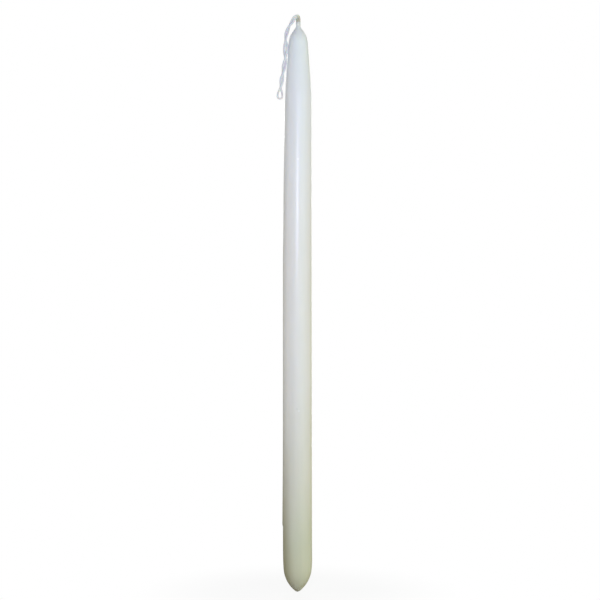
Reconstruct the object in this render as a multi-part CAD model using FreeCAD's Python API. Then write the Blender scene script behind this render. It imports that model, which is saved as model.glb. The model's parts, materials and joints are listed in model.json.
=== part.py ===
"""A hand-dipped white taper candle with its cotton wick, in millimetres.

The wax is round all the way up. Dipping leaves an ogive point at the bottom. Above it are a straight butt for the
candlestick, a long shank, a taper that leans a little to the right, and a bullet-shaped head that draws in to a thin
neck and a collar of wax around the wick. The wick runs up the middle of the wax, stands a few millimetres out of the
collar, folds over to the left and hangs down beside the head to an open eye.

Z is up and X points right, seen from the front. The origin is the centre of the butt's lower end.
"""

import FreeCAD
import Part

import math
import os

# The butt and the point below it
butt_diameter = 23.2
butt_length = 25.0
flank_length = 9.0  # below the butt, where the side begins to close
flank_draw = 0.37  # what the flank takes off the radius
point_length = 27.4  # from the butt's lower end to the tip
tip_radius = 2.8

# The shank and the taper above it
shank_length = 212.0
shank_top_diameter = 23.0
taper_length = 131.0
taper_top_diameter = 20.9
taper_bow = 0.1  # how far the taper's side stands outside a straight line
taper_steps = 4
lean = 0.6  # how far the head stands to the right of the butt's axis

# The head, from the taper's top to the collar's rim
cone_length = 43.0
cone_top_diameter = 15.1
cone_bow = 0.26  # how far the cone's side stands outside a straight line
dome_radius = 15.7
slope_angle = 35.3  # degrees between the slope above the dome and the axis
neck_diameter = 3.4
neck_fillet = 3.8
collar_diameter = 3.9
collar_height = 1.4
collar_edge = 0.4  # chamfer of the rim

# The wick
wick_diameter = 2.4
wick_foot = 7.0  # wax left between the wick's lower end and the tip
stub_height = 2.0  # stiff with wax and straight, above the collar's rim
ply_diameter = 1.5  # each of the two plies, which part at the eye
eye_length = 6.8  # from the end of the twist to the centre of the eye's round
eye_radius = 1.9  # of the ply's centre line
arc_share = 0.45  # share of the shorter run that an arc takes up

butt_radius = butt_diameter / 2
shank_top_radius = shank_top_diameter / 2
taper_base = butt_length + shank_length
taper_top_radius = taper_top_diameter / 2
head_base = taper_base + taper_length
wick_radius = wick_diameter / 2


def point(radius, height):
    """A point of a profile, in the plane of X and Z."""
    return FreeCAD.Vector(radius, 0, height)


def normal(degrees):
    """The unit vector in the plane of X and Z that stands so far above the X axis."""
    angle = math.radians(degrees)
    return FreeCAD.Vector(math.cos(angle), 0, math.sin(angle))


def arc_from(start, centre, start_angle, end_angle):
    """The arc about a centre from a known start, and its end point."""
    radius = (start - centre).Length
    middle = centre + normal((start_angle + end_angle) / 2) * radius
    end = centre + normal(end_angle) * radius
    return Part.Arc(start, middle, end).toShape(), end


def revolved(edges):
    """The solid that a closed profile sweeps about the Z axis."""
    face = Part.Face(Part.Wire(edges))
    return face.revolve(FreeCAD.Vector(0, 0, 0), FreeCAD.Vector(0, 0, 1), 360)


def butt_and_point():
    """The straight butt, an easy flank, the ogive and its rounded tip."""
    flank_radius = (flank_length**2 + flank_draw**2) / (2 * flank_draw)
    flank_angle = math.degrees(math.asin(flank_length / flank_radius))
    flank_centre = point(butt_radius - flank_radius, 0)
    flank, flank_end = arc_from(point(butt_radius, 0), flank_centre, 0, -flank_angle)

    # The ogive leaves the flank without a kink and meets the tip's ball without one.
    outward = normal(-flank_angle)
    ball_centre = point(0, tip_radius - point_length)
    reach = flank_end - ball_centre
    ogive_radius = (reach.Length**2 - tip_radius**2) / (2 * (outward.dot(reach) - tip_radius))
    ogive_centre = flank_end - outward * ogive_radius
    to_ball = ball_centre - ogive_centre
    ball_angle = math.degrees(math.atan2(to_ball.z, to_ball.x))
    ogive, ogive_end = arc_from(flank_end, ogive_centre, -flank_angle, ball_angle)
    ball, tip = arc_from(ogive_end, ball_centre, ball_angle, -90)

    butt_top = point(butt_radius, butt_length)
    axis_top = point(0, butt_length)
    edges = [
        Part.makeLine(axis_top, butt_top),
        Part.makeLine(butt_top, point(butt_radius, 0)),
        flank,
        ogive,
        ball,
        Part.makeLine(tip, axis_top),
    ]
    return revolved(edges)


def level_circle(radius, centre_x, height):
    """One section of the shaft."""
    circle = Part.makeCircle(radius, point(centre_x, height), FreeCAD.Vector(0, 0, 1))
    return Part.Wire(circle)


def shaft():
    """The straight shank and the taper, as a ruled loft whose circles move over with the lean."""
    sections = [level_circle(butt_radius, 0, butt_length)]
    for i in range(taper_steps + 1):
        share = i / taper_steps
        ease = share * share * (3 - 2 * share)
        bow = taper_bow * 4 * share * (1 - share)
        radius = shank_top_radius + (taper_top_radius - shank_top_radius) * share + bow
        sections.append(level_circle(radius, lean * ease, taper_base + taper_length * share))
    return Part.makeLoft(sections, True, True)


def head():
    """The cone, dome, slope, neck and collar, and the height of the collar's rim."""
    base = point(taper_top_radius, head_base)
    cone_end = point(cone_top_diameter / 2, head_base + cone_length)
    chord = cone_end - base
    chord_angle = math.degrees(math.atan2(-chord.x, chord.z))
    bow_angle = math.degrees(2 * math.atan(2 * cone_bow / chord.Length))
    cone_middle = (base + cone_end) * 0.5 + normal(chord_angle) * cone_bow
    cone = Part.Arc(base, cone_middle, cone_end).toShape()

    dome_start = chord_angle + bow_angle
    dome_centre = cone_end - normal(dome_start) * dome_radius
    dome, dome_end = arc_from(cone_end, dome_centre, dome_start, slope_angle)

    # The neck is one hollow arc, narrowest where its side stands upright.
    neck_centre_x = neck_diameter / 2 + neck_fillet
    slope_drop = dome_end.x - neck_centre_x + neck_fillet * math.cos(math.radians(slope_angle))
    slope_end = dome_end + point(-slope_drop, slope_drop / math.tan(math.radians(slope_angle)))
    neck_centre = slope_end + normal(slope_angle) * neck_fillet
    collar_radius = collar_diameter / 2
    flare = math.degrees(math.acos((neck_centre_x - collar_radius) / neck_fillet))
    neck, neck_end = arc_from(slope_end, neck_centre, 180 + slope_angle, 180 - flare)

    rim = neck_end.z + collar_height
    edge_low = point(collar_radius, rim - collar_edge)
    edge_high = point(collar_radius - collar_edge, rim)
    profile = [
        Part.makeLine(point(0, head_base), base),
        cone,
        dome,
        Part.makeLine(dome_end, slope_end),
        neck,
        Part.makeLine(neck_end, edge_low),
        Part.makeLine(edge_low, edge_high),
        Part.makeLine(edge_high, point(0, rim)),
        Part.makeLine(point(0, rim), point(0, head_base)),
    ]
    solid = revolved(profile)
    solid.translate(FreeCAD.Vector(lean, 0, 0))
    return solid, rim


def wick_core(top):
    """The straight part of the wick, from its foot near the tip up to a height."""
    foot = point(lean, wick_foot - point_length)
    return Part.makeCylinder(wick_radius, top - foot.z, foot, FreeCAD.Vector(0, 0, 1))


def tail_route(rim):
    """The free tail's corners, from the stub over the fold and down beside the head.

    They are measured from the middle of the stub's top, so the tail hangs from where the stub ends.
    """
    corners = [
        (0.0, 0.0, 0.0),
        (0.0, 0.0, 2.0),
        (-1.6, -0.1, 3.3),
        (-3.7, -0.2, 2.9),
        (-5.6, -0.5, -0.9),
        (-8.9, -1.6, -8.5),
        (-10.1, -2.6, -16.7),
        (-9.9, -3.0, -25.1),
        (-10.5, -2.8, -34.0),
        (-12.4, -2.2, -42.6),
        (-13.2, -1.6, -49.0),
        (-14.4, -1.3, -55.2),
    ]
    return [FreeCAD.Vector(lean + x, y, rim + stub_height + z) for x, y, z in corners]


def rounded_path(corners):
    """Straight runs joined by tangent arcs, each as large as its two runs allow, and the arcs' radii."""
    edges = []
    radii = []
    start = corners[0]
    for before, corner, after in zip(corners, corners[1:], corners[2:]):
        back = before - corner
        ahead = after - corner
        run = min(back.Length, ahead.Length) * arc_share
        back.normalize()
        ahead.normalize()
        half_turn = (math.pi - back.getAngle(ahead)) / 2
        radius = run / math.tan(half_turn)
        into = corner + back * run
        out_of = corner + ahead * run
        bisector = back + ahead
        bisector.normalize()
        middle = corner + bisector * (radius / math.cos(half_turn) - radius)
        edges.append(Part.LineSegment(start, into).toShape())
        edges.append(Part.Arc(into, middle, out_of).toShape())
        radii.append(radius)
        start = out_of
    edges.append(Part.LineSegment(start, corners[-1]).toShape())
    return Part.Wire(edges), radii


def swept(path, radius):
    """A round tube along a path, square to it at both ends."""
    first = path.Edges[0]
    direction = first.tangentAt(first.FirstParameter)
    start = first.valueAt(first.FirstParameter)
    section = Part.Wire(Part.makeCircle(radius, start, direction))
    return path.makePipeShell([section], True, False)


def eye(end):
    """The loop at the tail's end: one ply goes down, round the eye and back up beside itself."""
    centre = end - FreeCAD.Vector(0, 0, eye_length)
    side = wick_radius - ply_diameter / 2
    spread = eye_radius - side
    # The straight sides lean out by this angle and touch the round without a kink.
    reach = math.hypot(side, eye_length)
    lean_out = math.degrees(math.asin(eye_radius / reach) - math.atan2(side, eye_length))
    start = end + FreeCAD.Vector(-side, 0, 0)
    finish = end + FreeCAD.Vector(side, 0, 0)
    touch_left = centre + normal(180 - lean_out) * eye_radius
    touch_right = centre + normal(lean_out) * eye_radius
    bottom = centre - FreeCAD.Vector(0, 0, eye_radius)
    path = Part.Wire(
        [
            Part.LineSegment(start, touch_left).toShape(),
            Part.Arc(touch_left, bottom, touch_right).toShape(),
            Part.LineSegment(touch_right, finish).toShape(),
        ]
    )
    print(f"eye: ply path {path.Length:.1f} mm, opening {2 * spread:.1f} mm wide at the round")
    return swept(path, ply_diameter / 2)


def wick(rim):
    """The whole wick: core and stub, free tail and eye."""
    route = tail_route(rim)
    path, radii = rounded_path(route)
    tail = swept(path, wick_radius)
    section = math.pi * wick_radius**2
    print("tail radii:", " ".join(f"{r:.1f}" for r in radii))
    print(f"tail length {path.Length:.1f} mm, volume over section x length {tail.Volume / section / path.Length:.4f}")
    end_ball = Part.makeSphere(wick_radius, route[-1])
    core = wick_core(rim + stub_height)
    return core.multiFuse([tail, end_ball, eye(route[-1])]).removeSplitter()


def wax_body(head_solid, rim):
    """The whole candle of wax, with the way that the wick takes up."""
    body = butt_and_point().multiFuse([shaft(), head_solid])
    return body.cut(wick_core(rim)).removeSplitter()


head_solid, rim_height = head()
nodes = {
    "wax_body": wax_body(head_solid, rim_height),
    "wick": wick(rim_height),
}

os.makedirs("parts", exist_ok=True)
for name, shape in nodes.items():
    box = shape.BoundBox
    print(f"{name}: {len(shape.Solids)} solid, valid {shape.isValid()}, {shape.Volume / 1000:.2f} cm3")
    print(f"  x {box.XMin:.2f} {box.XMax:.2f}  y {box.YMin:.2f} {box.YMax:.2f}  z {box.ZMin:.2f} {box.ZMax:.2f}")
    shape.exportStep(f"parts/{name}.step")
print(f"collar rim at {rim_height:.2f} mm")
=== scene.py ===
# %% [markdown]
# # A dipped taper candle
#
# This notebook dresses a white taper that was made by dipping a wick into molten wax again and again. The
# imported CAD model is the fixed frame: it gives the wax and the wick their true size and place. Here they get
# the things that a camera sees, which are the slightly uneven wax, the twisted cotton and the light.
#
# Blender works in metres, so a size that a maker would give in millimetres is written as a number times
# `mm`.

import json
import math
import random

import bpy
import numpy as np
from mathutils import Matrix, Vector, noise

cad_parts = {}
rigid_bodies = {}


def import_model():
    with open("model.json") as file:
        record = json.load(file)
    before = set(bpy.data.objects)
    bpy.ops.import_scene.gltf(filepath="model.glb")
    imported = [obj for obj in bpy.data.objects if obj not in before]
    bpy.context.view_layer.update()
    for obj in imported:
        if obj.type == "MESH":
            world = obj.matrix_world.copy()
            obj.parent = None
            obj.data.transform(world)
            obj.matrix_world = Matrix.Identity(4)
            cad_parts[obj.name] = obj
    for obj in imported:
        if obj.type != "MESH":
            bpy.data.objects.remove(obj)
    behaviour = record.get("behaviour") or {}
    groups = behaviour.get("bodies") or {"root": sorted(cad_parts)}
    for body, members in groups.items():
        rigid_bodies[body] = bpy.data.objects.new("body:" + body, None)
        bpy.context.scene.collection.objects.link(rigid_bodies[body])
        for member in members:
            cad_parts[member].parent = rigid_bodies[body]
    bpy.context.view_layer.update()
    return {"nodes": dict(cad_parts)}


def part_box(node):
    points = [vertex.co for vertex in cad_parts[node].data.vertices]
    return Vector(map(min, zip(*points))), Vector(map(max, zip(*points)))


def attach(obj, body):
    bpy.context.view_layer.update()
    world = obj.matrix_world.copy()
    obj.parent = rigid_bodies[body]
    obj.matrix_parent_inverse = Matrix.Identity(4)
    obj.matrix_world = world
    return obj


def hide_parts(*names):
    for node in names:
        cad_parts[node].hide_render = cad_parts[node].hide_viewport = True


for leftover in list(bpy.data.objects):  # a new Blender file starts with a cube, a camera and a lamp
    bpy.data.objects.remove(leftover)
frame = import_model()
mm = 0.001
wax_low, wax_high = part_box("wax_body")
wax_width = wax_high.x - wax_low.x
print(f"wax from {wax_low.z / mm:.1f} to {wax_high.z / mm:.1f} mm, {wax_width / mm:.1f} mm wide")

# %% [markdown]
# ## The camera
#
# The candle is photographed square on, from about its own middle height. Everything near the plane of the
# wick is then drawn at one scale, so the camera follows from three facts: how much one pixel covers at the
# candle, the row that the tip is on, and the column that the axis is on. The lens is worked out from the
# distance, so a change of distance changes the perspective and not the framing.

# %% Camera
picture_side = 600
pixel = 0.7974 * mm  # what one pixel of the picture covers at the candle
tip_row = 591.66
axis_column = 297.5
camera_distance = 1.2

camera_data = bpy.data.cameras.new("camera")
camera_data.lens = camera_data.sensor_width * camera_distance / (picture_side * pixel)
camera = bpy.data.objects.new("camera", camera_data)
camera.location = (
    (picture_side / 2 - axis_column) * pixel,
    -camera_distance,
    wax_low.z + (tip_row - picture_side / 2) * pixel,
)
camera.rotation_euler = (math.radians(90), 0, 0)
bpy.context.scene.collection.objects.link(camera)
bpy.context.scene.camera = camera
print(f"lens {camera_data.lens:.0f} mm, camera {camera.location.z / mm:.0f} mm up")

# %% [markdown]
# ## The line that the wick follows
#
# A wick is a cord: it has a fixed length and falls under its own weight. So its middle line comes first, as
# one smooth NURBS curve through the collar of wax, over the fold and down beside the head. Its points began
# as the CAD model's route. They were then moved to where the photographed wick is, most of all at the fold,
# which is lower and tighter. `order_u` and `use_endpoint_u` are set after the points are there, because set
# before they would leave the curve as straight runs.

# %% Route of the wick
lean = 0.6 * mm  # the head stands this far to the right of the origin
stub_height = 2.0 * mm
path_step = 0.25 * mm  # between the points of a line that pieces are built on
exit_point = Vector((lean, 0, wax_high.z))
stub_top = exit_point + Vector((0, 0, stub_height))
route_corners = [  # in millimetres from the top of the stub
    (0.0, 0.0, -2.0),
    (-0.1, 0.0, 0.0),
    (0.0, 0.0, 1.9),
    (-0.8, -0.1, 2.5),
    (-2.8, -0.2, 1.6),
    (-4.7, -0.4, -1.5),
    (-8.4, -1.5, -8.0),
    (-10.2, -2.5, -15.5),
    (-9.6, -2.9, -21.5),
    (-10.2, -3.1, -28.0),
    (-10.3, -2.9, -33.5),
    (-11.6, -2.4, -40.0),
    (-12.9, -1.9, -46.0),
    (-13.4, -1.5, -51.0),
    (-14.4, -1.3, -56.0),
    (-14.6, -1.3, -61.5),
]


def smooth_line(corners):
    """The points of one smooth NURBS curve that has these corners as its control points."""
    curve = bpy.data.curves.new("route", "CURVE")
    curve.dimensions = "3D"
    curve.resolution_u = 24
    spline = curve.splines.new("NURBS")
    spline.points.add(len(corners) - 1)
    for spline_point, corner in zip(spline.points, corners):
        spline_point.co = (*corner, 1)
    spline.order_u = 3
    spline.use_endpoint_u = True
    holder = bpy.data.objects.new("route", curve)
    mesh = bpy.data.meshes.new_from_object(holder)
    points = np.array([vertex.co for vertex in mesh.vertices])
    bpy.data.meshes.remove(mesh)
    bpy.data.curves.remove(curve)
    return points


def lengths_along(points):
    """How far along a line each of its points is."""
    return np.concatenate([[0], np.cumsum(np.linalg.norm(np.diff(points[:, :3], axis=0), axis=1))])


def spaced(points, step):
    """The same line with its points an even step apart. Columns after the first three come along."""
    along = lengths_along(points)
    places = np.linspace(0, along[-1], math.ceil(along[-1] / step) + 1)
    return np.stack([np.interp(places, along, column) for column in points.T], axis=1)


wick_line = spaced(smooth_line([stub_top + Vector(corner) * mm for corner in route_corners]), path_step)
print(f"free wick: {lengths_along(wick_line)[-1] / mm:.1f} mm from the collar to the round of its eye")

# %% [markdown]
# ## Twisting one yarn into a wick
#
# The wick is a single yarn, doubled and twisted on itself. The place where it was doubled is the open eye at
# the bottom. The two halves, or plies, wind round the middle line: where they lie one behind the other the
# wick looks thin, and between two such crossings they stand side by side.
#
# So each ply is the middle line plus an offset that turns round it. The turn is a quarter at the first
# crossing and grows by a half from one crossing to the next. `crossing_drops` says how far below the collar
# each one is. For each stretch between them, `half_gaps` says how far a ply's centre stands from the middle
# line, and `swells` how much thicker the yarn is there, because cotton opens where the twist is slack.

# %% Where the plies cross
crossing_drops = [3.4, 14.4, 29.0, 41.4, 52.0]  # these and the half gaps are in millimetres
settling_drop = 6  # this far below the last crossing the plies stand side by side, and turn no more
fold_height = 1  # the twist starts where the wick has come down to this far above the collar
half_gaps = [0.80, 0.84, 1.25, 1.00, 0.90, 1.90]
swells = [1.0, 0.95, 1.25, 1.1, 1.0, 0.88]
crossing_half_gap = 0.78 * mm
eye_half_width = half_gaps[-1] * mm
towards_back = np.array([0.0, 1.0, 0.0])


def unit(vectors):
    """The same directions with a length of one."""
    return vectors / np.linalg.norm(vectors, axis=-1, keepdims=True)


def first_below(height):
    """The index of the first point, past the fold, that is below a height."""
    top = int(np.argmax(wick_line[:, 2]))
    return top + int(np.argmax(wick_line[top:, 2] < height))


def eased(values, half_width):
    """Values with their corners rounded by a moving average."""
    padded = np.pad(values, half_width, mode="edge")
    return np.convolve(padded, np.ones(2 * half_width + 1) / (2 * half_width + 1), "valid")


last = len(wick_line) - 1
crossings = [first_below(exit_point.z - drop * mm) for drop in crossing_drops]
settled = first_below(exit_point.z - (crossing_drops[-1] + settling_drop) * mm)
past_fold = first_below(exit_point.z + fold_height * mm)
print(f"{len(crossings)} crossings, at points {crossings} of {last}")

# %% [markdown]
# The turn is known at the crossings and grows evenly between them. A twist that changed its pace from one
# point to the next would show as a kink, so the corners of that line are rounded with a moving average.

# %% How far the plies have turned
turn_easing = 8  # points on each side
known_places = [0, past_fold, *crossings, settled, last]
known_turns = [0, 0, *(0.25 + 0.5 * k for k in range(len(crossings)))]
known_turns += [known_turns[-1] + 0.25] * 2
turns = 2 * math.pi * eased(np.interp(np.arange(last + 1), known_places, known_turns), turn_easing)
print(f"{known_turns[-1]:.1f} turns from the fold to the eye")

# %% [markdown]
# The plies are pressed together at a crossing and furthest apart half way to the next, which is how a sine
# rises and falls. In the last stretch they only part, to the width of the eye.

# %% How far apart the plies stand
gap_easing = 4
gap = np.empty(last + 1)
swell = np.empty(last + 1)
stretches = zip([0, *crossings], [*crossings, last], half_gaps, swells)
for k, (start, end, half_gap, thicker) in enumerate(stretches):
    share = np.linspace(0, 1, end - start + 1)
    if k == 0:  # side by side in the stub, and closing late
        rise = 1 - share**3
    elif end == last:  # opening to the eye
        rise = np.sin(share * math.pi / 2) ** 1.2
    else:
        rise = np.sin(share * math.pi)
    gap[start : end + 1] = crossing_half_gap + (half_gap * mm - crossing_half_gap) * rise
    swell[start : end + 1] = 1 + (thicker - 1) * rise
gap = eased(gap, gap_easing)
swell = eased(swell, gap_easing)
print(f"plies' centres {gap.min() / mm:.2f} to {gap.max() / mm:.2f} mm from the middle line")

# %% [markdown]
# Now the yarn can be drawn as one line: down the first ply, round the eye in a half circle, and up the
# second. Two plies and a separate ring would be simpler, but the seams would show in the open eye.

# %% Path of the yarn
tangents = unit(np.gradient(wick_line, axis=0))
across = unit(np.cross(tangents, towards_back))
behind = np.cross(tangents, across)
offsets = gap[:, None] * (np.cos(turns)[:, None] * across + np.sin(turns)[:, None] * behind)

bend_steps = 24
bend_angles = np.linspace(0, math.pi, bend_steps)[1:-1, None]
bend = wick_line[-1] + np.cos(bend_angles) * offsets[-1] + np.sin(bend_angles) * eye_half_width * tangents[-1]
yarn_places = np.concatenate([wick_line + offsets, bend, (wick_line - offsets)[::-1]])
yarn_swell = np.concatenate([swell, np.full(len(bend), swell[-1]), swell[::-1]])
yarn_course = spaced(np.column_stack([yarn_places, yarn_swell]), path_step)
yarn_line = yarn_course[:, :3]
yarn_swell = yarn_course[:, 3]
print(f"yarn {lengths_along(yarn_line)[-1] / mm:.0f} mm long")

# %% [markdown]
# ## Tubes from lines
#
# A strand, a hair and the waxed stub are all tubes round a line. Blender's curve bevel could draw them, but
# a tube built in code can change its thickness as it goes, and each point can carry its distance along the
# strand as a UV coordinate, which the cotton's fibres need later. Each ring's directions come from the ring
# before it, with the turn of the line taken out, so the tube doesn't twist by itself.

# %% Tube builder


def carried_frames(points):
    """At each point of a line, the tangent and two directions square to it that never twist suddenly."""
    tangent = unit(np.gradient(points, axis=0))
    first = np.empty_like(tangent)
    helper = np.array([1.0, 0.0, 0.0]) if abs(tangent[0][0]) < 0.9 else towards_back
    previous = np.cross(tangent[0], helper)
    for i, direction in enumerate(tangent):
        previous = previous - direction * previous.dot(direction)
        previous = previous / np.linalg.norm(previous)
        first[i] = previous
    return tangent, first, np.cross(tangent, first)


class MeshParts:
    """Vertices, faces and UV places that several tubes are gathered in."""

    def __init__(self):
        self.vertices = []
        self.faces = []
        self.places = []

    def add_tube(self, points, radii, sides):
        """A closed tube round a line, with a radius for each point."""
        _, first, second = carried_frames(points)
        along = lengths_along(points) / mm
        angles = np.linspace(0, 2 * math.pi, sides, endpoint=False)
        base = len(self.vertices)
        for i, centre in enumerate(points):
            for angle in angles:
                direction = math.cos(angle) * first[i] + math.sin(angle) * second[i]
                self.vertices.append(tuple(centre + radii[i] * direction))
        for i in range(len(points) - 1):
            for j in range(sides):
                a = base + i * sides + j
                b = base + i * sides + (j + 1) % sides
                self.faces.append((a, b, b + sides, a + sides))
                low, high = along[i], along[i + 1]
                left, right = j / sides, (j + 1) / sides
                self.places.append([(low, left), (low, right), (high, right), (high, left)])
        end = base + (len(points) - 1) * sides
        self.faces.append(tuple(base + j for j in reversed(range(sides))))
        self.faces.append(tuple(end + j for j in range(sides)))
        self.places.append([(0, j / sides) for j in range(sides)])
        self.places.append([(along[-1], j / sides) for j in range(sides)])

    def piece(self, name, material):
        """The gathered mesh as a smooth-shaded object that rides on the candle."""
        mesh = bpy.data.meshes.new(name)
        mesh.from_pydata(self.vertices, [], self.faces)
        if self.places:
            layer = mesh.uv_layers.new(name="strand")
            flat = [place for face in self.places for place in face]
            layer.data.foreach_set("uv", np.array(flat, np.float32).ravel())
        mesh.polygons.foreach_set("use_smooth", [True] * len(mesh.polygons))
        mesh.materials.append(material)
        mesh.update()
        made = bpy.data.objects.new(name, mesh)
        bpy.context.scene.collection.objects.link(made)
        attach(made, "root")
        triangles = sum(len(face) - 2 for face in self.faces)
        print(f"{name}: {triangles} triangles")
        return made


print("tube builder ready")

# %% [markdown]
# ## Shader maths in plain Python
#
# A shader tree is hard to read as a list of links. The small class below wraps an output socket, so that
# `0.4 + 0.1 * grain` adds the Math nodes by itself. Colours and vectors go through Vector Math, because a
# plain Math node would turn a colour grey. Every other node comes from the one method `node`.

# %% Shader helpers


class Finish:
    """A material or world in the making."""

    def __init__(self, owner):
        owner.use_nodes = True
        self.owner = owner
        self.tree = owner.node_tree
        self.tree.nodes.clear()

    def node(self, kind, settings=None, inputs=None, output=0):
        """Adds a node: its settings first, then the values or links of its sockets. Returns one output."""
        made = self.tree.nodes.new("ShaderNode" + kind)
        for name, value in (settings or {}).items():
            if name == "stops":
                self.set_stops(made.color_ramp, value)
            else:
                setattr(made, name, value)
        for name, value in (inputs or {}).items():
            if isinstance(value, Wire):
                self.tree.links.new(value.socket, made.inputs[name])
            else:
                made.inputs[name].default_value = value
        return Wire(self, made.outputs[output] if made.outputs else None)

    def set_stops(self, ramp, stops):
        """Gives a colour ramp its stops, each a place from 0 to 1 and a colour."""
        while len(ramp.elements) < len(stops):
            ramp.elements.new(1)
        for element, (place, colour) in zip(ramp.elements, stops):
            element.position = place
            element.color = (*colour, 1)

    def mix(self, first, second, share):
        """A colour between two others."""
        settings = {"data_type": "RGBA"}
        return self.node("Mix", settings, {0: share, 6: as_colour(first), 7: as_colour(second)}, output=2)

    def smooth_step(self, value, start, end):
        """0 before start, 1 after end, and a smooth climb between them."""
        settings = {"interpolation_type": "SMOOTHSTEP"}
        return self.node("MapRange", settings, {"Value": value, "From Min": start, "From Max": end})

    def surface(self, shader):
        """Makes a shader the surface of the material, or of the world."""
        kind = "OutputWorld" if isinstance(self.owner, bpy.types.World) else "OutputMaterial"
        self.node(kind, None, {"Surface": shader})
        return self.owner


def as_colour(value):
    """A colour with its fourth number, or a link as it is."""
    return value if isinstance(value, Wire) else (*value, 1)


class Wire:
    """One output socket, with Python's own operators for its maths."""

    def __init__(self, finish, socket):
        self.finish = finish
        self.socket = socket

    def maths(self, operation, first, second):
        """A Math node, or a Vector Math node where a colour or a vector takes part."""
        vector = any(isinstance(v, Wire) and v.socket.type != "VALUE" for v in (first, second))
        kind = "VectorMath" if vector else "Math"
        if vector:
            first, second = (v if isinstance(v, (Wire, tuple)) else (v, v, v) for v in (first, second))
        return self.finish.node(kind, {"operation": operation}, {0: first, 1: second})

    def __add__(self, other):
        return self.maths("ADD", self, other)

    def __sub__(self, other):
        return self.maths("SUBTRACT", self, other)

    def __rsub__(self, other):
        return self.maths("SUBTRACT", other, self)

    def __mul__(self, other):
        return self.maths("MULTIPLY", self, other)

    def __truediv__(self, other):
        return self.maths("DIVIDE", self, other)

    __radd__ = __add__
    __rmul__ = __mul__


def new_finish(name):
    """An empty material to build a finish in."""
    return Finish(bpy.data.materials.new(name))


print("shader helpers ready")

# %% [markdown]
# ## Wax, the finish
#
# Candle wax scatters light inside itself, which softens its shading, so the shader has subsurface scattering
# of a few millimetres. The colour isn't even: the upper part is a cool white and the foot, where the wax is
# older and thicker, is ivory, but part of that change up the height is painted light and shade. Towards the
# foot on the left the wax is painted darker and yellower still, as shade, and the right edge carries a
# painted warm shade. Three small marks are painted light: a highlight, and the shade and lit side of a pit.
#
# A ramp gives the tones from the tip to the collar. The other tints are laid over it one by one: each
# multiplies the colour, and a mask says where. The masks are made from how far to the side a point is and
# how high it is. Each `edge`, `rise` and `fade` below holds the two places that such a mask changes between.
# A painted picture could hold the same tints, but a mask stays exact at any size.

# %% Tones of the wax
# Part of this ramp is painted light and shade. Besides the wax's own cool white and ivory, the tones get
# darker and yellower towards the foot as painted shade. They are lifted at the tip and the head as painted
# light, and darken again at the very top.
tones_and_shade_upwards = [  # a share of the height, and the tone there
    (0.00, (0.73, 0.72, 0.53)),
    (0.08, (0.70, 0.71, 0.55)),
    (0.20, (0.77, 0.76, 0.67)),
    (0.35, (0.81, 0.80, 0.77)),
    (0.60, (0.81, 0.80, 0.79)),
    (0.88, (0.82, 0.84, 0.87)),
    (0.965, (0.84, 0.885, 0.905)),
    (0.988, (0.86, 0.89, 0.89)),
    (0.997, (0.70, 0.73, 0.73)),
]
patch_tint = (0.975, 0.98, 0.97)
# Painted shade: the left side is darker and yellower, fading out by 110 mm up.
left_shade_tint = (0.84, 0.81, 0.70)
left_shade_edge = (5 * mm, 12 * mm)  # to the left
left_shade_fade = (20 * mm, 110 * mm)
# Painted shade: the left of the foot is darker and yellower still.
left_foot_shade_tint = (0.91, 0.89, 0.80)
left_foot_shade_edge = (0.0, 9 * mm)  # to the left
left_foot_shade_fade = (-20 * mm, 30 * mm)
# Painted shade: a warm, darker tint on the right edge, from 40 mm up to the middle of the candle.
right_shade_tint = (0.93, 0.93, 0.79)
right_shade_edge = (8.8 * mm, 11.4 * mm)
right_shade_rise = (0.0, 40 * mm)
right_shade_fade = (160 * mm, 340 * mm)
# Painted light, not marks in the wax: the first is a painted highlight on the bright line down the front. The
# next two are the painted shade and the lit side of a small pit.
painted_light_specks = [  # the middle of each, and its tone
    (Vector((0.4, -11.0, 316.6)) * mm, (0.93, 0.93, 0.93)),
    (Vector((-0.4, -11.5, 119.0)) * mm, (0.73, 0.73, 0.69)),
    (Vector((1.2, -11.5, 117.5)) * mm, (0.85, 0.85, 0.83)),
]
speck_core = 0.3 * mm  # inside this it has its full tone
speck_radius = 1.1 * mm


def wax_tone(finish, place, patches):
    """The wax's colour at a place, with its painted light and shade."""
    height = finish.node("SeparateXYZ", None, {0: place}, output=2)
    share = (height - wax_low.z) / (wax_high.z - wax_low.z)
    tone = finish.node("ValToRGB", {"stops": tones_and_shade_upwards}, {0: share})
    colour = finish.mix(tone, tone * patch_tint, patches)

    rightwards = finish.node("SeparateXYZ", None, {0: place})
    leftwards = 0 - rightwards
    # painted shade on the left side
    left_shade = finish.smooth_step(leftwards, *left_shade_edge) * (1 - finish.smooth_step(height, *left_shade_fade))
    colour = finish.mix(colour, colour * left_shade_tint, left_shade)
    # painted shade on the left of the foot
    left_foot_shade = finish.smooth_step(leftwards, *left_foot_shade_edge) * (1 - finish.smooth_step(height, *left_foot_shade_fade))
    colour = finish.mix(colour, colour * left_foot_shade_tint, left_foot_shade)
    # painted warm shade on the right edge
    right_shade = finish.smooth_step(rightwards, *right_shade_edge) * finish.smooth_step(height, *right_shade_rise)
    right_shade = right_shade * (1 - finish.smooth_step(height, *right_shade_fade))
    colour = finish.mix(colour, colour * right_shade_tint, right_shade)

    # each mark is painted light: a highlight, or a pit's shade and lit side
    for middle, speck_tone in painted_light_specks:
        distance = {"operation": "DISTANCE"}
        from_speck = finish.node("VectorMath", distance, {0: place, 1: middle}, output="Value")
        outside = finish.smooth_step(from_speck, speck_core, speck_radius)
        colour = finish.mix(speck_tone, colour, outside)
    return colour


print(f"{len(tones_and_shade_upwards)} tones from tip to collar, {len(painted_light_specks)} specks")

# %% [markdown]
# The surface is satin, with faint runs, clouds and a fine grain from the last dip. On the left and at the
# foot it is duller, so these edges don't shine where they mirror the white room.

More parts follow.
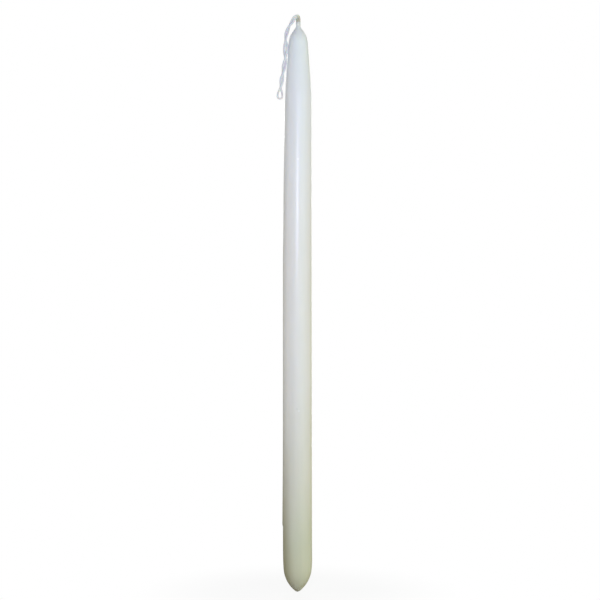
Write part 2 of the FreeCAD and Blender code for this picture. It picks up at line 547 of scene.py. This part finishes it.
# %% Wax
satin_roughness = 0.27
cloud_roughness = 0.06
dullness = 0.6
dull_edge = (9.8 * mm, 11.3 * mm)  # to the left
dull_fade = (0.0, 45 * mm)


def wax_finish():
    finish = new_finish("wax")
    place = finish.node("TexCoord", output=3)
    runs_place = place * (1.0, 1.0, 0.06)  # a noise that is squeezed upwards draws long streaks
    runs = finish.node("TexNoise", None, {"Vector": runs_place, "Scale": 420.0, "Detail": 2.0})
    cloud_place = place * (1.0, 1.0, 0.3)
    cloud = finish.node("TexNoise", None, {"Vector": cloud_place, "Scale": 90.0, "Detail": 2.0})
    patches = finish.smooth_step(0.5 * runs + 0.5 * cloud, 0.35, 0.65)

    leftwards = 0 - finish.node("SeparateXYZ", None, {0: place})
    height = finish.node("SeparateXYZ", None, {0: place}, output=2)
    dull_side = finish.smooth_step(leftwards, *dull_edge)
    dull_foot = 1 - finish.smooth_step(height, *dull_fade)
    dull = finish.node("Math", {"operation": "MAXIMUM"}, {0: dull_side, 1: dull_foot})

    grain = finish.node("TexNoise", None, {"Vector": place, "Scale": 1500.0, "Detail": 2.0})
    skin = runs * 0.6 + grain * 0.25 + cloud * 0.5
    bump = finish.node("Bump", None, {"Strength": 0.12, "Distance": 0.4 * mm, "Height": skin})

    shader = finish.node(
        "BsdfPrincipled",
        {"subsurface_method": "RANDOM_WALK"},
        {
            "Base Color": wax_tone(finish, place, patches),
            "Roughness": satin_roughness + cloud_roughness * cloud + dullness * dull,
            "Subsurface Weight": 0.5,
            "Subsurface Radius": (1.0, 0.9, 0.75),
            "Subsurface Scale": 2.5 * mm,
            "IOR": 1.44,
            "Normal": bump,
        },
    )
    return finish.surface(shader)


wax = wax_finish()
print("wax finish made")

# %% [markdown]
# ## Wax, the body
#
# The body's outline is read from the CAD model: every level of its mesh is a ring on the true surface. The
# outline is then drawn again with many more rings, and rounded a little where the CAD has edges, as wax
# would be.

# %% Outline from the CAD model
level_gap = 0.02 * mm
least_corners = 12  # on a level that is enough to fit a circle to
bore_radius = 1.3 * mm  # anything narrower is the wick's hole, and not the outside


def circle_through(corners):
    """The x of the centre and the radius of the circle that a level's corners are on."""
    x, y = corners[:, 0], corners[:, 1]
    terms = np.stack([x, y, np.ones_like(x)], axis=1)
    twice_x, twice_y, _ = np.linalg.lstsq(terms, x**2 + y**2, rcond=None)[0]
    return twice_x / 2, np.hypot(x - twice_x / 2, y - twice_y / 2).max()


def outline_of(node):
    """The height, centre and radius of each level on the outside of a node that is round all the way up."""
    corners = np.array(sorted((tuple(vertex.co) for vertex in node.data.vertices), key=lambda co: co[2]))
    breaks = np.nonzero(np.diff(corners[:, 2]) > level_gap)[0] + 1
    levels = [level for level in np.split(corners, breaks) if len(level) >= least_corners]
    circles = [(level[:, 2].mean(), *circle_through(level)) for level in levels]
    return np.array([circle for circle in circles if circle[2] > bore_radius])


rings = outline_of(frame["nodes"]["wax_body"])
print(f"{len(rings)} levels read, radius up to {rings[:, 2].max() / mm:.2f} mm")

# %% [markdown]
# A Subdivision Surface modifier would round the outline too, but it would pull the surface inwards
# everywhere. A moving average with bell-shaped weights only changes it near its corners.

# %% Finer outline
ring_step = 0.8 * mm
fine_step = 0.1 * mm
rounding = 0.6 * mm


def fine_outline():
    """The outline as evenly spaced rings, with its corners rounded. It starts and ends on the axis."""
    line = np.array([(wax_low.z, 0, 0), *rings, (wax_high.z, rings[-1][1], 0)])
    along = np.concatenate([[0], np.cumsum(np.hypot(np.diff(line[:, 0]), np.diff(line[:, 2])))])
    places = np.linspace(0, along[-1], round(along[-1] / fine_step))
    fine = np.stack([np.interp(places, along, line[:, k]) for k in range(3)], axis=1)
    half = round(2 * rounding / fine_step)
    # Past the axis the outline goes on as its own mirror image, so the rounding keeps the ends level.
    mirror = np.array([1, 1, -1])
    before = fine[1 : half + 1][::-1] * mirror
    after = fine[-half - 1 : -1][::-1] * mirror
    padded = np.concatenate([before, fine, after])
    weights = np.exp(-0.5 * (np.arange(-half, half + 1) * fine_step / rounding) ** 2)
    weights /= weights.sum()
    rounded = np.stack([np.convolve(padded[:, k], weights, "valid") for k in range(3)], axis=1)
    return rounded[:: round(ring_step / fine_step)]


outline = fine_outline()
print(f"{len(outline)} rings, {ring_step / mm:.1f} mm apart along the outline")

# %% [markdown]
# Dipped wax isn't perfectly round or straight. It bows to the left by a quarter of a millimetre, its foot
# stands a little to the right, its left side is slightly flat below the head, it has long shallow waves, and
# on the lower left a run of wax stopped in a small lip. All of these move the vertices, so they show in the
# outline and not only in the shading. The waves come from `noise.noise`, which gives the same smooth random
# number for the same place each time. Going round a circle in it makes the waves meet where they started.

# %% Unevenness of the wax
bow_depth = 0.28 * mm
bow_top = 345 * mm
bow_ending = 12  # the higher, the later and more suddenly it bends back
foot_sway = 0.14 * mm  # the foot stands this far to the right
foot_middle = -6 * mm
foot_half_height = 9 * mm
wave_depth = 0.07 * mm
wave_length = 45 * mm
waves_round = 0.8
ripple_depth = 0.025 * mm
ripple_length = 110 * mm
ripples_round = 3.2
run_angle = math.radians(187)  # on the left, a little towards the front
run_half_width = math.radians(24)
run_top = 105 * mm
run_lip = 25 * mm
lip_height = 1.6 * mm
run_depth = 0.46 * mm
flat_height = 264 * mm  # the left side is a little flat here
flat_half_height = 20 * mm
flat_depth = 0.28 * mm


def bow(height):
    """How far the wax's middle stands to the left of a straight line at a height."""
    share = min(1, max(0, height / bow_top))
    sway = foot_sway * math.exp(-(((height - foot_middle) / foot_half_height) ** 2))
    return bow_depth * share * (1 - share**bow_ending) - sway


def relief(angle, height):
    """How far the wax stands proud of the true round."""
    around = Vector((math.cos(angle), math.sin(angle), 0))
    wave = noise.noise(around * waves_round + Vector((3.1, 0, height / wave_length)))
    ripple = noise.noise(around * ripples_round + Vector((0, 7.7, height / ripple_length)))
    off_run = (angle - run_angle) / run_half_width
    down_run = (run_top - height) / (run_top - run_lip)
    if 0 < down_run < 1:
        full = down_run * min(1, (height - run_lip) / lip_height) ** 0.5
    else:
        full = 0
    run = run_depth * full * math.exp(-(off_run**2))
    flat = flat_depth * math.exp(-(off_run**2) - ((height - flat_height) / flat_half_height) ** 2)
    return wave_depth * wave + ripple_depth * ripple + run - flat


print(f"{relief(run_angle, run_lip + lip_height) / mm:.2f} mm proud at the run's lip")

# %% [markdown]
# The rings are joined with four-sided faces, and the two ends are closed with a fan of triangles. Displace
# modifiers could give a plain solid the same unevenness, but here one function holds all of it.

# %% Wax body
segments = 112
even_radius = 8 * mm  # where the wax is thinner than this, its unevenness fades


def wax_body():
    parts = MeshParts()
    angles = np.linspace(0, 2 * math.pi, segments, endpoint=False)
    for height, centre, radius in outline[1:-1]:
        thickness = min(1, (radius / even_radius) ** 2)
        for angle in angles:
            reach = radius + thickness * relief(angle, height)
            across = centre - bow(height) + reach * math.cos(angle)
            parts.vertices.append((across, reach * math.sin(angle), height))
    count = len(outline) - 2
    for i in range(count - 1):
        for j in range(segments):
            a = i * segments + j
            b = i * segments + (j + 1) % segments
            parts.faces.append((a, b, b + segments, a + segments))
    tip = len(parts.vertices)
    parts.vertices.append((0, 0, wax_low.z))
    parts.vertices.append((outline[-1][1], 0, wax_high.z))
    top_ring = (count - 1) * segments
    for j in range(segments):
        after = (j + 1) % segments
        parts.faces.append((tip, after, j))
        parts.faces.append((tip + 1, top_ring + j, top_ring + after))
    return parts.piece("candle_wax", wax)


candle_wax = wax_body()
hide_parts("wax_body")

# %% [markdown]
# ## Cotton, the finish
#
# The yarn is bleached cotton, a soft white that looks a little violet next to the wax, and a cleaner white at
# its eye. Where it leaves the collar, wax fills the air between the fibres and turns it a dull olive, which
# also holds painted shade under the fold. Over the fold it is only damp with wax, a greenish white that is
# lighter than the rest, partly as painted light on the fold's top. How much wax is in it depends on where
# it is, so the masks are made from the position. The fibres are a fine noise, drawn out along the strand
# with the UV coordinates that the tubes carry, and the hollows between them are painted darker, as shade.
# A picture of cotton could be wrapped round it instead, but noise has no seam and stays sharp from close by.

# %% Cotton
# Painted shade: the fibre noise makes the hollows between the fibres darker.
hollow_shade_tone = (0.65, 0.655, 0.69)  # between the fibres
ridge_tone = (0.85, 0.855, 0.89)  # on the fibres
eye_tint = (1.06, 1.05, 0.98)
# Damp with wax and lighter than the cotton beside it: partly painted light on the fold's top, where little
# lamp light reaches.
damp_and_lit_tone = (0.84, 0.865, 0.80)
# The dull olive of cotton full of wax, and partly painted shade under the fold.
soaked_shade_tone = (0.47, 0.465, 0.375)
soaked_shade_ridge_tone = (0.62, 0.62, 0.54)
dry_roughness = 0.9
soaked_gloss = 0.45


def cotton_finish():
    finish = new_finish("cotton")
    place = finish.node("TexCoord", output=3)
    strand = finish.node("UVMap", {"uv_map": "strand"}) * (1.2, 9.0, 1.0)
    fibre = finish.node("TexNoise", None, {"Vector": strand, "Scale": 1.6, "Detail": 3.0})
    across = finish.node("SeparateXYZ", None, {0: place})
    height = finish.node("SeparateXYZ", None, {0: place}, output=2)
    # where the fold gets its painted light
    lit_fold = finish.smooth_step(across, stub_top.x - 4.2 * mm, stub_top.x - 2.4 * mm)
    near_stub = finish.smooth_step(across, stub_top.x - 1.5 * mm, stub_top.x - 0.1 * mm)
    # under the fold the wick takes the dark tone, partly as painted shade
    under_fold = 1 - finish.smooth_step(height, stub_top.z + 1.2 * mm, stub_top.z + 3.8 * mm)
    soaked_and_shaded = near_stub * (0.1 + 0.9 * under_fold)

    clean = finish.mix(hollow_shade_tone, ridge_tone, fibre)
    near_eye = 1 - finish.smooth_step(height, stub_top.z - 58 * mm, stub_top.z - 50 * mm)
    clean = finish.mix(clean, clean * eye_tint, near_eye)
    damp_and_lit = finish.mix(clean, damp_and_lit_tone, lit_fold)
    waxed_and_shaded = finish.mix(soaked_shade_tone, soaked_shade_ridge_tone, fibre)
    bump = finish.node("Bump", None, {"Strength": 0.4, "Distance": 0.06 * mm, "Height": fibre})
    shader = finish.node(
        "BsdfPrincipled",
        None,
        {
            "Base Color": finish.mix(damp_and_lit, waxed_and_shaded, soaked_and_shaded),
            "Roughness": dry_roughness - soaked_gloss * soaked_and_shaded,
            "Subsurface Weight": 0.3,
            "Subsurface Scale": 0.8 * mm,
            "Sheen Weight": 0.2,
            "Normal": bump,
        },
    )
    return finish.surface(shader)


cotton = cotton_finish()
print("cotton finish made")

# %% [markdown]
# ## The yarn's strands
#
# The yarn itself is three strands, twisted. They wind round the yarn's line just as the plies wind round the
# wick's, only much tighter, and they swell and thin a little, as spun cotton does. Grooves in a Bump node
# would look the same from the front, but strands that are really there also make the outline of the wick
# uneven.

# %% Yarn
strand_count = 3
strand_sides = 9
strand_radius = 0.48 * mm
strand_offset = 0.40 * mm
strand_pitch = 4.6 * mm
swelling = 0.16  # a share of the radius
swelling_length = 2.5 * mm


def yarn():
    parts = MeshParts()
    _, first, second = carried_frames(yarn_line)
    along = lengths_along(yarn_line)
    for k in range(strand_count):
        angle = 2 * math.pi * (along / strand_pitch + k / strand_count)
        direction = np.cos(angle)[:, None] * first + np.sin(angle)[:, None] * second
        unevenness = [noise.noise(Vector((distance / swelling_length, 9.0 * k, 0))) for distance in along]
        radii = strand_radius * yarn_swell * (1 + swelling * np.array(unevenness))
        strand_line = yarn_line + (strand_offset * yarn_swell)[:, None] * direction
        parts.add_tube(strand_line, radii, strand_sides)
    return parts.piece("wick_yarn", cotton)


wick_yarn = yarn()
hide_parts("wick")

# %% [markdown]
# ## The waxed stub
#
# Each dip left a little wax on the wick above the collar. It holds the two plies together like a sleeve,
# thin at the front and back and lumpy, and it ends where the wick begins to fold over. The sleeve is a tube
# with an oval section whose rings follow the wick's own line.

# %% Soaked wax
soaked_wax_tone = (0.61, 0.605, 0.54)
collar_tone = (0.60, 0.59, 0.58)


def stub_finish():
    finish = new_finish("soaked_wax")
    place = finish.node("TexCoord", output=3)
    grooves_place = place * (1.0, 1.0, 0.35)
    grooves = finish.node("TexNoise", None, {"Vector": grooves_place, "Scale": 1600.0, "Detail": 2.0})
    blotch = finish.node("TexNoise", None, {"Vector": place, "Scale": 500.0})
    height = finish.node("SeparateXYZ", None, {0: place}, output=2)
    near_collar = 1 - finish.smooth_step(height, exit_point.z - 0.6 * mm, exit_point.z + 0.8 * mm)
    # the soaked cotton's dark olive is partly painted shade under the fold
    soaked_and_shaded = finish.mix(soaked_shade_tone, soaked_wax_tone, finish.smooth_step(blotch, 0.4, 0.7))
    colour = finish.mix(soaked_and_shaded, collar_tone, 0.8 * near_collar)
    bump = finish.node("Bump", None, {"Strength": 0.5, "Distance": 0.15 * mm, "Height": grooves})
    shader = finish.node(
        "BsdfPrincipled",
        None,
        {
            "Base Color": colour,
            "Roughness": 0.42 + 0.15 * blotch,
            "Subsurface Weight": 0.4,
            "Subsurface Scale": 1.0 * mm,
            "Normal": bump,
        },
    )
    return finish.surface(shader)


soaked_wax = stub_finish()
print("soaked wax finish made")

# %% Waxed stub
stub_half_width = 1.78 * mm
stub_half_depth = 1.25 * mm
stub_sink = 0.6 * mm  # it starts this far inside the collar
stub_length = 3.2 * mm
stub_ring_gap = 0.15 * mm
stub_sides = 32
closing_share = 0.2  # it closes in this share of its length
end_share = 0.35  # down to this share of its thickness
lumpiness = 0.10


def stub_wax():
    parts = MeshParts()
    sides = stub_sides
    base = wick_line[0] - np.array([0, 0, stub_sink])
    stub_line = wick_line[: int(stub_length / path_step)]
    line = spaced(np.vstack([base, stub_line]), stub_ring_gap)
    direction = unit(np.gradient(line, axis=0))
    side = unit(np.cross(direction, towards_back))
    back = np.cross(direction, side)
    along = lengths_along(line) / lengths_along(line)[-1]
    for i, centre in enumerate(line):
        past = max(0, (along[i] - (1 - closing_share)) / closing_share)
        thickness = end_share + (1 - end_share) * math.sqrt(max(0, 1 - past**2.5))
        for j in range(sides):
            angle = 2 * math.pi * j / sides
            around = Vector((2 * math.cos(angle), 2 * math.sin(angle), 7 * along[i]))
            reach = (1 + lumpiness * noise.noise(around)) * thickness
            sideways = stub_half_width * math.cos(angle) * side[i]
            offset = sideways + stub_half_depth * math.sin(angle) * back[i]
            parts.vertices.append(tuple(centre + reach * offset))
    for i in range(len(line) - 1):
        for j in range(sides):
            a = i * sides + j
            b = i * sides + (j + 1) % sides
            parts.faces.append((a, b, b + sides, a + sides))
    parts.faces.append(tuple(reversed(range(sides))))
    parts.faces.append(tuple(range((len(line) - 1) * sides, len(line) * sides)))
    return parts.piece("stub_wax", soaked_wax)


waxed_stub = stub_wax()

# %% [markdown]
# ## Loose fibres
#
# Cotton yarn is never clean-edged: short fibres stand out of it. Each is a hair-thin tube that leaves the
# yarn sideways and droops. They start a few millimetres past the stub, because wax holds them down there.
# Blender's hair could grow them too, but hair isn't a mesh and wouldn't be exported. The random numbers have
# a seed, so each run gives the same fibres.

# %% Loose fibres
fibre_seed = 7
fibre_count = 260
fibre_points = 5
fibre_sides = 3
fibre_radius = 0.018 * mm
fibre_lengths = (0.7, 1.9)  # in millimetres
fibre_start = 9 * mm
fibre_droop = np.array([0, 0, -0.35])  # how far its end hangs down, as a share of its length


def loose_fibres():
    parts = MeshParts()
    chance = random.Random(fibre_seed)
    _, first, second = carried_frames(yarn_line)
    along = lengths_along(yarn_line)
    free = list(np.nonzero((along > fibre_start) & (along < along[-1] - fibre_start))[0])
    for _ in range(fibre_count):
        i = chance.choice(free)
        angle = chance.uniform(0, 2 * math.pi)
        out = math.cos(angle) * first[i] + math.sin(angle) * second[i]
        length = chance.uniform(*fibre_lengths) * mm
        lean_along = chance.uniform(-1, 1) * unit(np.gradient(yarn_line[i - 2 : i + 3], axis=0))[2]
        start = yarn_line[i] + out * (strand_offset + 0.5 * strand_radius)
        steps = np.linspace(0, 1, fibre_points)[:, None]
        leaving = 0.55 * out + 0.6 * lean_along
        bending = fibre_droop + 0.2 * lean_along
        line = start + length * (steps * leaving + steps**2 * bending)
        radii = np.linspace(fibre_radius, 0.5 * fibre_radius, fibre_points)
        parts.add_tube(line, radii, fibre_sides)
    return parts.piece("wick_fibres", cotton)


wick_fibres = loose_fibres()

# %% [markdown]
# ## Light, floor and background
#
# The candle stands in an evenly lit room, with lamps round it. The background is pure white only for what
# looks at it directly: `Light Path` tells the camera's rays from the rays that light the candle, so the
# white backdrop doesn't wash out the wax. The view transform is Standard, in which a strength of 1 is shown
# as white.

# %% World
bpy.context.scene.view_settings.view_transform = "Standard"
white = (1.0, 1.0, 1.0)
room_strength = 0.20


def seen_directly(finish):
    """1 for a ray of the camera, of a mirror or of glass, and 0 for a ray that lights something."""
    direct = None
    for output in ("Is Camera Ray", "Is Glossy Ray", "Is Transmission Ray"):
        ray = finish.node("LightPath", output=output)
        direct = ray if direct is None else finish.node("Math", {"operation": "MAXIMUM"}, {0: direct, 1: ray})
    return direct


def white_room():
    world = bpy.data.worlds.new("white_room")
    bpy.context.scene.world = world
    finish = Finish(world)
    room = finish.node("Background", None, {"Color": (*white, 1), "Strength": room_strength})
    backdrop = finish.node("Background", None, {"Color": (*white, 1), "Strength": 1.0})
    finish.surface(finish.node("MixShader", None, {0: seen_directly(finish), 1: room, 2: backdrop}))


white_room()
print(f"white backdrop, room light of strength {room_strength}")

# %% [markdown]
# The floor is seen as white too, but it lights the candle as pale wood would, a little warm. Round the foot
# a small share of a matt white is mixed in, which takes a shadow, so that the candle doesn't float.

# %% Floor
floor_half_side = 6.0
shadow_core = 0.042  # inside this it has its full share
shadow_reach = 0.14
shadow_share = 0.12
floor_tone = (0.34, 0.32, 0.28)


def floor_finish():
    finish = new_finish("pale_floor")
    place = finish.node("TexCoord", output=3)
    from_candle = finish.node("VectorMath", {"operation": "LENGTH"}, {0: place}, output="Value")
    near = 1 - finish.smooth_step(from_candle, shadow_core, shadow_reach)
    matt = finish.node("BsdfDiffuse", None, {"Color": (*white, 1)})
    glow = finish.node("Emission", None, {"Color": (*white, 1), "Strength": 1.0})
    seen = finish.node("MixShader", None, {0: near * shadow_share, 1: glow, 2: matt})
    lighting = finish.node("BsdfDiffuse", None, {"Color": (*floor_tone, 1)})
    shader = finish.node("MixShader", None, {0: seen_directly(finish), 1: lighting, 2: seen})
    return finish.surface(shader)


def pale_floor():
    mesh = bpy.data.meshes.new("floor")
    side = floor_half_side
    corners = [(-side, -side, 0), (side, -side, 0), (side, side, 0), (-side, side, 0)]
    mesh.from_pydata(corners, [], [(0, 1, 2, 3)])
    mesh.materials.append(floor_finish())
    floor = bpy.data.objects.new("floor", mesh)
    floor.location.z = wax_low.z
    bpy.context.scene.collection.objects.link(floor)


pale_floor()
print(f"floor {wax_low.z / mm:.1f} mm up, at the candle's tip")

# %% [markdown]
# ## Lamps
#
# A lamp is placed as a photographer would say it: so many degrees to the side of the camera, this high, this
# far from the candle and this large. A cool panel in front and a greenish one to its right do most of the
# lighting. A warm panel at the right and a narrow strip close by at the left open up the two sides, and a
# panel behind keeps the back from going dark. The small lamp stands in line with the camera, nearer to the
# candle, and its mirror image is the narrow bright line down the middle of the wax.

# %% Lamps


def lamp(name, degrees_right, height, distance, size, power, tone):
    """An area lamp of a width and a height that faces the candle's axis. The camera doesn't see it."""
    angle = math.radians(degrees_right)
    data = bpy.data.lights.new(name, "AREA")
    data.shape = "RECTANGLE"
    data.size, data.size_y = size
    data.energy = power
    data.color = tone
    made = bpy.data.objects.new(name, data)
    made.location = (distance * math.sin(angle), -distance * math.cos(angle), height)
    made.rotation_euler = (math.radians(90), 0, angle)
    made.visible_camera = False
    bpy.context.scene.collection.objects.link(made)


# Degrees to the right, height, distance, width and height, power and tone. Lengths are in metres.
lamp("left_strip", -80, 0.255, 0.12, (0.06, 0.38), 0.070, (1.0, 1.0, 0.80))
lamp("front_panel", 0, 0.28, 0.8, (0.6, 0.6), 1.93, (0.83, 0.83, 1.0))
lamp("right_front_panel", 40, 0.28, 0.8, (0.6, 0.6), 2.26, (0.85, 1.0, 0.77))
lamp("right_side_panel", 95, 0.20, 0.8, (0.6, 0.6), 1.15, (1.0, 0.80, 0.48))
lamp("back_panel", 180, 0.28, 0.8, (0.4, 0.6), 3.3, (0.95, 1.0, 1.0))
lamp("small_lamp", 0, 0.335, 0.6, (0.04, 0.08), 1.04, (0.76, 0.77, 1.0))
print(f"{len(bpy.data.lights)} lamps")
